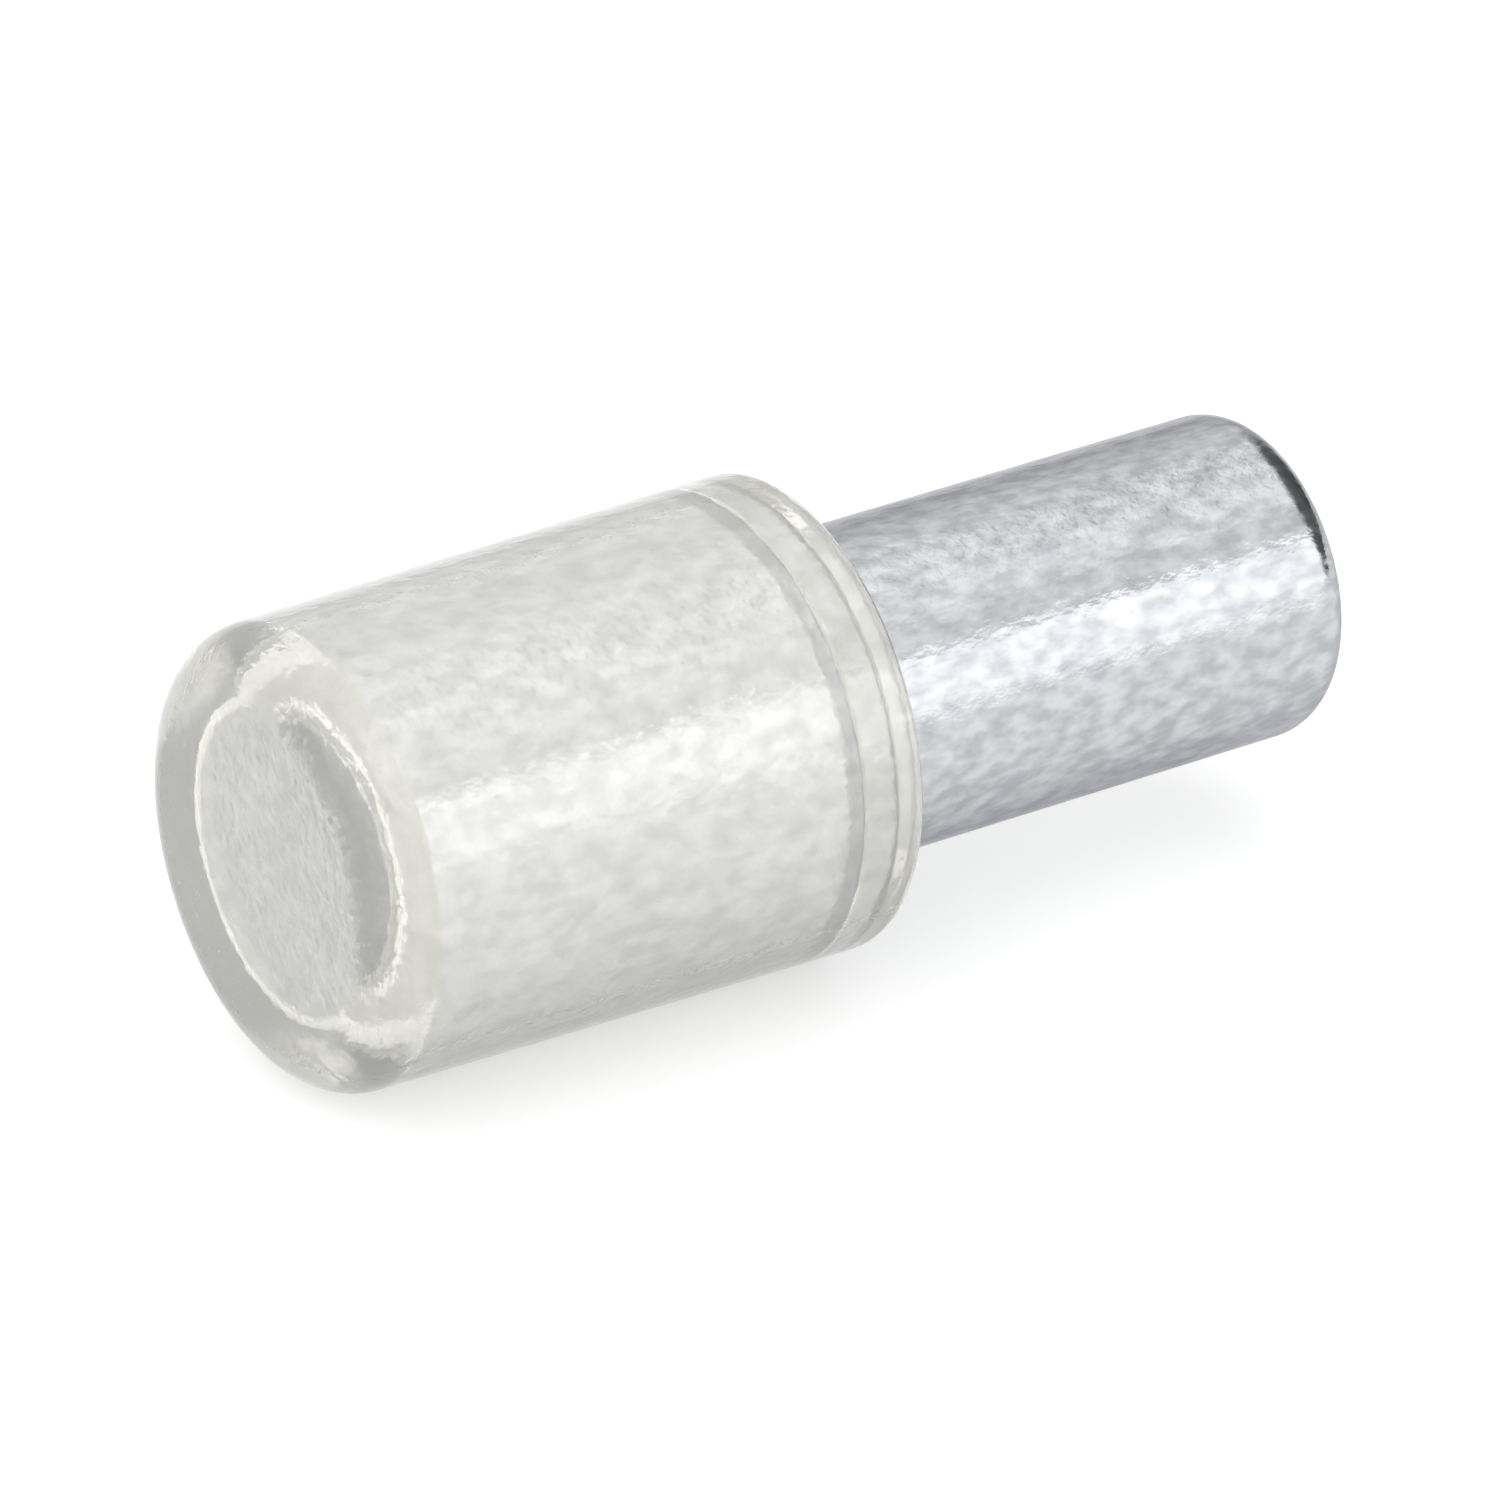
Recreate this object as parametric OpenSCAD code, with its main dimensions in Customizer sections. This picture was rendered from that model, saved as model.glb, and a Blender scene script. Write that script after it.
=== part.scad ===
// Shelf support pin: a steel rod with a collar, and a clear plastic sheath pushed over its covered half.
// The peg plugs into a drilled side panel, and the shelf lies on the sheath.
// The pin's axis is X, its peg points along +X, and X = 0 is the panel's face.

/* [Pin] */
// Diameter of the steel rod, to suit the hole drilled for its bare peg
peg_d = 5; // [3:0.1:5.4]
// Length of bare peg, from the panel's face to its free end
peg_l = 8.4; // [4:0.1:16]
// Radius of the rounded edge round the peg's free end
peg_tip_r = 0.65; // [0.1:0.05:1.4]
// Chamfer round the rod's other end, inside the sheath
end_chamfer = 0.3; // [0.1:0.05:1]

/* [Collar] */
// Diameter of the collar on the rod, just inside the sheath's mouth
collar_d = 5.8; // [5.4:0.1:6.4]
// Width of the collar along the rod
collar_w = 0.65; // [0.3:0.05:1.5]
// Radius of the rounded edges round the collar
collar_edge_r = 0.1; // [0.02:0.02:0.14]
// Radius of the fillet where the collar's face towards the panel meets the peg
collar_root_r = 0.1; // [0.05:0.01:0.1]
// How far the sheath's soft mouth stands past the collar, so that plastic and not steel meets the panel
mouth_l = 0.2; // [0.1:0.05:0.6]

/* [Sheath] */
// Diameter of the sheath at its closed front end, before its rim is rounded
sheath_front_d = 7.02; // [6.9:0.02:9]
// Diameter of the sheath at the panel's face, wider by the mould's draft
sheath_back_d = 7.28; // [6.9:0.02:9]
// Length of the sheath, from its front face to the panel's face
sheath_l = 9.2; // [5:0.1:16]
// Thickness of the plastic in front of the rod's covered end
front_wall = 1; // [0.4:0.05:2]
// Radius of the rounded rim round the front face
front_rim_r = 0.85; // [0.1:0.05:1.5]
// Radius of the rounded rim at the panel's face
back_rim_r = 0.3; // [0.05:0.05:0.4]
// Chamfer round the inside of the mouth, where the sheath is pushed over the rod
mouth_chamfer = 0.06; // [0.02:0.02:0.1]

/* [Fit] */
// Gap all round between the steel and the sheath that hugs it
hug_gap = 0.02; // [0.01:0.01:0.1]
// How much smaller the rounding in the bore's closed end is than the rod's chamfer that has to clear it
end_ease = 0.05; // [0.01:0.01:0.09]

/* [Hidden] */
$fn = 96;
peg_r = peg_d / 2;
collar_r = collar_d / 2;
bore_r = peg_r + hug_gap;
mouth_r = collar_r + hug_gap;
sheath_front_x = -sheath_l;
bore_end_x = sheath_front_x + front_wall;
bore_end_r = end_chamfer - end_ease;
rod_end_x = bore_end_x + hug_gap;
collar_out_x = -mouth_l; // the collar's face towards the panel
collar_in_x = collar_out_x - collar_w;
draft = atan((sheath_back_d - sheath_front_d) / 2 / sheath_l);
over = 0.1; // how far a cutting shape passes the face that it cuts

// Outlines are half sections: X is the radius, and Y runs along the pin.

// What a rounding takes off a square corner, with the corner at the origin and the body at -X -Y
module corner_waste(radius) {
    translate([-radius, -radius]) difference() {
        square(radius + over);
        circle(radius);
    }
}

// What a 45 degree chamfer takes off such a corner
module chamfer_waste(leg) {
    reach = leg + over;
    polygon([[-reach, over], [over, over], [over, -reach]]);
}

// A plain round bar between two places along the pin
module bar_outline(radius, from, to) {
    translate([0, from]) square([radius, to - from]);
}

module rod_outline() {
    difference() {
        bar_outline(peg_r, rod_end_x, peg_l);
        translate([peg_r, peg_l]) corner_waste(peg_tip_r);
        translate([peg_r, rod_end_x]) mirror([0, 1]) chamfer_waste(end_chamfer);
    }
}

module collar_outline() {
    difference() {
        bar_outline(collar_r, collar_in_x, collar_out_x);
        translate([collar_r, collar_out_x]) corner_waste(collar_edge_r);
        translate([collar_r, collar_in_x]) mirror([0, 1]) corner_waste(collar_edge_r);
    }
}

// The fillet in the corner between the collar's face and the peg
module collar_root_outline() {
    translate([peg_r, collar_out_x]) difference() {
        translate([-over, -over]) square(collar_root_r + over);
        translate([collar_root_r, collar_root_r]) circle(collar_root_r);
    }
}

// Radius of the drafted side at a place along the pin
function side_r(at) = sheath_front_d / 2 + (at - sheath_front_x) * tan(draft);

// Centre of the rounded rim that touches both the drafted side and an end face
function rim_centre(at, rim_r) = [side_r(at) - rim_r / cos(draft), at];

// Where that rim meets the drafted side
function rim_side(centre, rim_r) = centre + rim_r * [cos(draft), -sin(draft)];

// The sheath's outer form: a drafted bar with a rounded rim at each end
module sheath_outline() {
    front_rim = rim_centre(sheath_front_x + front_rim_r, front_rim_r);
    back_rim = rim_centre(-back_rim_r, back_rim_r);
    polygon([
        [0, sheath_front_x], [front_rim.x, sheath_front_x], rim_side(front_rim, front_rim_r),
        rim_side(back_rim, back_rim_r), [back_rim.x, 0], [0, 0]
    ]);
    translate(front_rim) circle(front_rim_r);
    translate(back_rim) circle(back_rim_r);
}

// The rod's bore, with the rounded closed end that the mould's core pin leaves
module bore_outline() {
    difference() {
        bar_outline(bore_r, bore_end_x, over);
        translate([bore_r, bore_end_x]) mirror([0, 1]) corner_waste(bore_end_r);
    }
}

// The room inside the sheath: the bore, and a wider mouth for the collar
module sheath_room_outline() {
    bore_outline();
    bar_outline(mouth_r, collar_in_x - hug_gap, over);
    translate([mouth_r, 0]) mirror([1, 0]) chamfer_waste(mouth_chamfer);
}

// Turns a half section round the pin's axis
module turned() {
    rotate([0, 90, 0]) rotate_extrude() children();
}

module steel_pin() {
    color([0.78, 0.79, 0.82]) turned() {
        rod_outline();
        collar_outline();
        collar_root_outline();
    }
}

module plastic_sheath() {
    color([0.88, 0.89, 0.86, 0.55]) turned() difference() {
        sheath_outline();
        sheath_room_outline();
    }
}

steel_pin();
plastic_sheath();
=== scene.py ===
import math

import bmesh
import bpy
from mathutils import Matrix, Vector


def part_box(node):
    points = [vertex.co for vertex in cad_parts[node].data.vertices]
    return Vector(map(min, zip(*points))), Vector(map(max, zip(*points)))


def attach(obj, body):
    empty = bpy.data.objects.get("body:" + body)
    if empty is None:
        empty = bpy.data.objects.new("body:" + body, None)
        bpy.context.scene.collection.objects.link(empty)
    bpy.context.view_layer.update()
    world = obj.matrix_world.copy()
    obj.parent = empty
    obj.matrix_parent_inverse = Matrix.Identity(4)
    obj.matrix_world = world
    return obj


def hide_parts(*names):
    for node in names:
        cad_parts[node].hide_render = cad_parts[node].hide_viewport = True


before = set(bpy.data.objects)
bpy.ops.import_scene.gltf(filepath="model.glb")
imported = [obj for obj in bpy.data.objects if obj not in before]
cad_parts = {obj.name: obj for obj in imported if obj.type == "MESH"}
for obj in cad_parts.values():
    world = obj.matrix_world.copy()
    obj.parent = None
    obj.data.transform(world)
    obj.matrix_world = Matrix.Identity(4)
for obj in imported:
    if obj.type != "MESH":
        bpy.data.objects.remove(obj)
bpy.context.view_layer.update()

mm = 0.001
pinLow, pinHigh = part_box("steel_pin")
sheathLow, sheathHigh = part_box("plastic_sheath")
print("frame loaded")


def srgb(code):  # hex colour to the linear values that the shaders want
    parts = [int(code[i:i + 2], 16) / 255 for i in (1, 3, 5)]
    return [c / 12.92 if c <= 0.04045 else ((c + 0.055) / 1.055) ** 2.4 for c in parts] + [1.0]


def addNode(tree, kind, settings=None, links=None):
    node = tree.nodes.new(kind)
    for name, value in (settings or {}).items():
        if name in node.inputs:
            node.inputs[name].default_value = value
        else:
            setattr(node, name, value)
    for name, source in (links or {}).items():
        tree.links.new(source, node.inputs[name])
    return node


def ramp(tree, value, start, end, low=0.0, high=1.0):
    # low below start, high above end, and a straight slope between them
    limits = {"From Min": start, "From Max": end, "To Min": low, "To Max": high}
    return addNode(tree, "ShaderNodeMapRange", limits, {"Value": value}).outputs["Result"]


def combined(tree, operation, first, second):
    node = addNode(tree, "ShaderNodeMath", {"operation": operation})
    tree.links.new(first, node.inputs[0])
    tree.links.new(second, node.inputs[1])
    return node.outputs[0]


def newMaterial(name):
    material = bpy.data.materials.new(name)
    material.use_nodes = True
    tree = material.node_tree
    return material, tree, tree.nodes["Principled BSDF"]


# how close in metres a point is on the axis, or two points are one; the angle in degrees past which an edge
# stays sharp; and the single cut that makes a rounding a plain chamfer
turning = {"onAxis": 1e-9, "weld": 1e-7, "sharpAngle": 30, "chamferCuts": 1}


def turnedPiece(name, outline, roundings, steps):
    # outline: places along the axis with their radii, from axis to axis
    # roundings: a corner's number in that outline, with its radius and how many cuts it gets
    bm = bmesh.new()
    corners = [bm.verts.new((along, 0, radius)) for along, radius in outline]
    bm.faces.new(corners)
    for number, (radius, cuts) in roundings.items():
        bmesh.ops.bevel(bm, geom=[corners[number]], offset=radius, offset_type="OFFSET", segments=cuts,
                        profile=0.5, affect="VERTICES", material=-1)
    bmesh.ops.delete(bm, geom=list(bm.faces), context="FACES_ONLY")
    onAxis = [edge for edge in bm.edges if all(abs(vert.co.z) < turning["onAxis"] for vert in edge.verts)]
    bmesh.ops.delete(bm, geom=onAxis, context="EDGES")
    bmesh.ops.spin(bm, geom=list(bm.verts) + list(bm.edges), cent=(0, 0, 0), axis=(1, 0, 0),
                   angle=2 * math.pi, steps=steps, use_merge=True)
    bmesh.ops.remove_doubles(bm, verts=bm.verts, dist=turning["weld"])
    bmesh.ops.recalc_face_normals(bm, faces=bm.faces)
    for face in bm.faces:
        face.smooth = True
    for edge in bm.edges:
        if len(edge.link_faces) == 2 and edge.calc_face_angle() > math.radians(turning["sharpAngle"]):
            edge.smooth = False
    mesh = bpy.data.meshes.new(name)
    bm.to_mesh(mesh)
    bm.free()
    piece = bpy.data.objects.new(name, mesh)
    bpy.context.scene.collection.objects.link(piece)
    piece.modifiers.new("evenNormals", "WEIGHTED_NORMAL").keep_sharp = True
    return piece


# the steel pin: one rod with its collar
pin = {
    "rodRadius": 2.5 * mm, "endChamfer": 0.3 * mm, "tipRounding": 0.65 * mm, "tipCuts": 16,
    "collarRadius": 2.9 * mm, "collarFront": -0.85 * mm, "collarBack": -0.2 * mm,
    "collarRounding": 0.1 * mm, "collarRoot": 0.1 * mm, "collarCuts": 5,
    "steps": 160,
}
pinPiece = turnedPiece("zincPlatedPin", [
    (pinLow.x, 0), (pinLow.x, pin["rodRadius"]),
    (pin["collarFront"], pin["rodRadius"]), (pin["collarFront"], pin["collarRadius"]),
    (pin["collarBack"], pin["collarRadius"]), (pin["collarBack"], pin["rodRadius"]),
    (pinHigh.x, pin["rodRadius"]), (pinHigh.x, 0),
], {
    1: (pin["endChamfer"], turning["chamferCuts"]),
    3: (pin["collarRounding"], pin["collarCuts"]), 4: (pin["collarRounding"], pin["collarCuts"]),
    5: (pin["collarRoot"], pin["collarCuts"]), 6: (pin["tipRounding"], pin["tipCuts"]),
}, pin["steps"])
print("pin turned")

# the sheath: its inside is a hair smaller than the steel, so that the plastic is seen wetted onto it,
# and air is left only at the rod's chamfer and at the collar's rounded edges
sheath = {
    "frontRadius": 3.51 * mm, "frontRim": 0.85 * mm, "frontCuts": 20,
    "backRadius": 3.64 * mm, "backRim": 0.3 * mm, "backCuts": 10,
    "bite": 0.01 * mm, "mouthChamfer": 0.06 * mm, "boreEndRounding": 0.25 * mm, "boreEndCuts": 10,
    "steps": 192,
}
boreEnd = pinLow.x + sheath["bite"]
boreRadius = pin["rodRadius"] - sheath["bite"]
mouthEnd = pin["collarFront"] + sheath["bite"]
mouthRadius = pin["collarRadius"] - sheath["bite"]
sheathPiece = turnedPiece("clearSheath", [
    (sheathLow.x, 0), (sheathLow.x, sheath["frontRadius"]), (0, sheath["backRadius"]), (0, mouthRadius),
    (mouthEnd, mouthRadius), (mouthEnd, boreRadius), (boreEnd, boreRadius), (boreEnd, 0),
], {
    1: (sheath["frontRim"], sheath["frontCuts"]), 2: (sheath["backRim"], sheath["backCuts"]),
    3: (sheath["mouthChamfer"], turning["chamferCuts"]),
    6: (sheath["boreEndRounding"], sheath["boreEndCuts"]),
}, sheath["steps"])
print("sheath moulded")


def patches(tree, size, along=1.0, detail=2.0):
    # soft patches fixed to the piece, with their size in metres; along under 1 draws them out lengthwise
    where = addNode(tree, "ShaderNodeTexCoord").outputs["Object"]
    scale = (along / size, 1 / size, 1 / size)
    scaled = addNode(tree, "ShaderNodeMapping", {"Scale": scale}, {"Vector": where}).outputs["Vector"]
    noise = addNode(tree, "ShaderNodeTexNoise", {"Scale": 1.0, "Detail": detail}, {"Vector": scaled})
    return noise.outputs["Fac"]


patchRange = (0.35, 0.65)  # most of a patch pattern's values lie between these


def evened(tree, pattern, low=0.0, high=1.0):
    # spreads those middle values over the whole range
    return ramp(tree, pattern, *patchRange, low, high)


def bumps(tree, shader, layers):
    # layers: pattern, height in metres, each laid over the one before
    normal = None
    for pattern, height in layers:
        links = {"Height": pattern}
        if normal:
            links["Normal"] = normal
        bump = addNode(tree, "ShaderNodeBump", {"Strength": 1.0, "Distance": height}, links)
        normal = bump.outputs["Normal"]
    tree.links.new(normal, shader.inputs["Normal"])


zinc = {
    "light": "#c9cacd", "deep": "#adb0b3", "rim": "#cccccf", "roughness": (0.12, 0.24),
    "cloudSize": 0.25 * mm, "cloudAlong": 0.6,
    "dentSize": 0.13 * mm, "dentAlong": 0.7, "dentHeight": 0.01 * mm,
    "streakSize": 0.12 * mm, "streakAlong": 0.2, "streakDetail": 3.0, "streakHeight": 0.0015 * mm,
    # painted light: the steel under the sheath has its colour drawn this many times lighter, a painted lift
    "covered": 1.25, "endClear": 0.05 * mm, "fade": 0.1 * mm,
}


def zincPlatedSteel():
    # bright zinc over tumbled, turned steel: cool silver with soft dents and faint lengthwise drawing marks,
    # a little darker at grazing angles, and with painted light: its colour is drawn lighter along the side
    # under the sheath;
    # real drawing marks are a few hundredths of a millimetre apart, and these are coarse enough to show
    material, tree, shader = newMaterial("zincPlatedSteel")
    dents = patches(tree, zinc["dentSize"], zinc["dentAlong"])
    streaks = patches(tree, zinc["streakSize"], zinc["streakAlong"], zinc["streakDetail"])
    clouds = patches(tree, zinc["cloudSize"], zinc["cloudAlong"])
    colour = addNode(tree, "ShaderNodeMix", {"data_type": "RGBA"}, {"Factor": evened(tree, clouds)})
    colour.inputs[6].default_value = srgb(zinc["deep"])
    colour.inputs[7].default_value = srgb(zinc["light"])
    where = addNode(tree, "ShaderNodeTexCoord").outputs["Object"]
    station = addNode(tree, "ShaderNodeSeparateXYZ", {}, {"Vector": where}).outputs["X"]
    sideStart = pinLow.x + zinc["endClear"]
    side = ramp(tree, station, sideStart, sideStart + zinc["fade"])
    # painted light: from the collar's front edge inwards, the side under the sheath has its colour drawn
    # lighter, a painted lift that makes the sheathed steel read brighter
    collarStart = pin["collarFront"]
    covered = ramp(tree, station, collarStart, collarStart + zinc["fade"], zinc["covered"], 1.0)
    paintedLiftFactor = addNode(tree, "ShaderNodeMapRange", {"To Min": 1.0}, {"Value": side, "To Max": covered})
    paintedLiftColour = addNode(tree, "ShaderNodeVectorMath", {"operation": "SCALE"},
                   {"Vector": colour.outputs[2], "Scale": paintedLiftFactor.outputs["Result"]})
    tree.links.new(paintedLiftColour.outputs["Vector"], shader.inputs["Base Color"])
    tree.links.new(evened(tree, streaks, *zinc["roughness"]), shader.inputs["Roughness"])
    shader.inputs["Metallic"].default_value = 1.0
    shader.inputs["Specular Tint"].default_value = srgb(zinc["rim"])
    bumps(tree, shader, [(dents, zinc["dentHeight"]), (streaks, zinc["streakHeight"])])
    return material


milky = {
    "colour": "#fbfaf4", "clear": 0.7, "ior": 1.5, "roughness": 0.06,
    "waveSize": 1.1 * mm, "waveAlong": 0.8, "waveHeight": 0.01 * mm,
    "grainSize": 0.17 * mm, "grainHeight": 0.009 * mm,
}


def clearSoftPlastic():
    # injection-moulded soft polymer: clear with a faint milky body, a soft gloss and a slightly uneven skin
    material, tree, shader = newMaterial("milkyClearPlastic")
    waves = patches(tree, milky["waveSize"], milky["waveAlong"])
    grain = patches(tree, milky["grainSize"])
    shader.inputs["Base Color"].default_value = srgb(milky["colour"])
    shader.inputs["Transmission Weight"].default_value = milky["clear"]
    shader.inputs["IOR"].default_value = milky["ior"]
    shader.inputs["Roughness"].default_value = milky["roughness"]
    bumps(tree, shader, [(waves, milky["waveHeight"]), (grain, milky["grainHeight"])])
    return material


pinPiece.data.materials.append(zincPlatedSteel())
sheathPiece.data.materials.append(clearSoftPlastic())
for piece, node, slot in ((pinPiece, "steel_pin", "zinc_plated_steel"),
                          (sheathPiece, "plastic_sheath", "clear_plastic")):
    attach(piece, "root")
    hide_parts(node)
print("finishes made")

# the studio: a pale floor under the pin, and soft light
studio = {
    "floorSize": 1.5, "floorColour": 0.62, "floorRoughness": 0.9, "floorGloss": 0.0, "floorLift": 0.5,
    "horizon": 0.8, "zenith": 1.25,
    "dark": 0.15, "darkWay": (0.93, 0.1, 0.35), "darkFrom": 0.78, "darkTo": 0.9,
}
floorMesh = bpy.data.meshes.new("paleFloor")
bm = bmesh.new()
bmesh.ops.create_grid(bm, x_segments=1, y_segments=1, size=studio["floorSize"])
bmesh.ops.translate(bm, verts=bm.verts, vec=(0, 0, sheathLow.z))
bm.to_mesh(floorMesh)
bm.free()
floor = bpy.data.objects.new("paleFloor", floorMesh)
bpy.context.scene.collection.objects.link(floor)


def whitePaper():
    # matt white paper, lifted to plain white for the camera and for what mirrors it, with the shadow kept
    material, tree, shader = newMaterial("whitePaper")
    level = studio["floorColour"]
    shader.inputs["Base Color"].default_value = (level, level, level, 1)
    shader.inputs["Roughness"].default_value = studio["floorRoughness"]
    shader.inputs["Specular IOR Level"].default_value = studio["floorGloss"]
    ray = addNode(tree, "ShaderNodeLightPath")
    seen = ray.outputs["Is Camera Ray"]
    for kind in ("Is Glossy Ray", "Is Transmission Ray"):
        seen = combined(tree, "MAXIMUM", seen, ray.outputs[kind])
    shader.inputs["Emission Color"].default_value = (1, 1, 1, 1)
    tree.links.new(ramp(tree, seen, 0.0, 1.0, 0.0, studio["floorLift"]), shader.inputs["Emission Strength"])
    return material


floor.data.materials.append(whitePaper())


def studioWorld():
    # a white tent, brighter overhead, with its dark opening beyond the peg's free end
    world = bpy.data.worlds.new("studio")
    world.use_nodes = True
    tree = world.node_tree
    way = addNode(tree, "ShaderNodeTexCoord").outputs["Generated"]
    height = addNode(tree, "ShaderNodeSeparateXYZ", {}, {"Vector": way}).outputs["Z"]
    tent = ramp(tree, height, 0.0, 1.0, studio["horizon"], studio["zenith"])
    facing = addNode(tree, "ShaderNodeVectorMath", {"operation": "DOT_PRODUCT"})
    tree.links.new(way, facing.inputs[0])
    facing.inputs[1].default_value = Vector(studio["darkWay"]).normalized()
    opening = ramp(tree, facing.outputs["Value"], studio["darkFrom"], studio["darkTo"], 1.0, studio["dark"])
    background = tree.nodes["Background"]
    background.inputs["Color"].default_value = (1, 1, 1, 1)
    tree.links.new(combined(tree, "MULTIPLY", tent, opening), background.inputs["Strength"])
    return world


bpy.context.scene.world = studioWorld()


def softbox(name, towards, distance, size, radiance):
    width, height = size
    lamp = bpy.data.lights.new(name, "AREA")
    lamp.shape = "RECTANGLE"
    lamp.size, lamp.size_y = size
    lamp.energy = radiance * math.pi * width * height  # an area lamp spreads its watts over its face
    holder = bpy.data.objects.new(name, lamp)
    bpy.context.scene.collection.objects.link(holder)
    way = Vector(towards).normalized()
    holder.location = way * distance
    holder.rotation_euler = (-way).to_track_quat("-Z", "Y").to_euler()


# each soft lamp: the way towards it, its distance, its width and height in metres, and its brightness
lamps = {
    "frontBox": ((0.1, -0.92, 0.34), 0.3, (0.8, 0.22), 0.8),
    "topBox": ((0.477, 0.107, 0.872), 0.3, (0.3, 0.1), 0.2),
    "leftBox": ((-0.75, -0.1, 0.65), 0.3, (0.25, 0.25), 0.8),
}
for name, (towards, distance, size, radiance) in lamps.items():
    softbox(name, towards, distance, size, radiance)

# the camera looks down on the sheathed end from the left
view = {
    "azimuth": -32.8, "elevation": 28.2, "distance": 180 * mm, "lens": 294, "sensor": 36,
    "aim": (-0.79 * mm, -0.03 * mm, -0.45 * mm), "nearest": 0.005, "farthest": 10,
}
turn, rise = math.radians(view["azimuth"]), math.radians(view["elevation"])
outward = Vector((math.sin(turn) * math.cos(rise), -math.cos(turn) * math.cos(rise), math.sin(rise)))
lens = bpy.data.cameras.new("macroCamera")
lens.lens = view["lens"]
lens.sensor_width = view["sensor"]
lens.clip_start = view["nearest"]
lens.clip_end = view["farthest"]
camera = bpy.data.objects.new("macroCamera", lens)
bpy.context.scene.collection.objects.link(camera)
camera.location = Vector(view["aim"]) + outward * view["distance"]
camera.rotation_euler = (-outward).to_track_quat("-Z", "Y").to_euler()
bpy.context.scene.camera = camera
bpy.context.scene.view_settings.view_transform = "Standard"
print("studio and camera set")
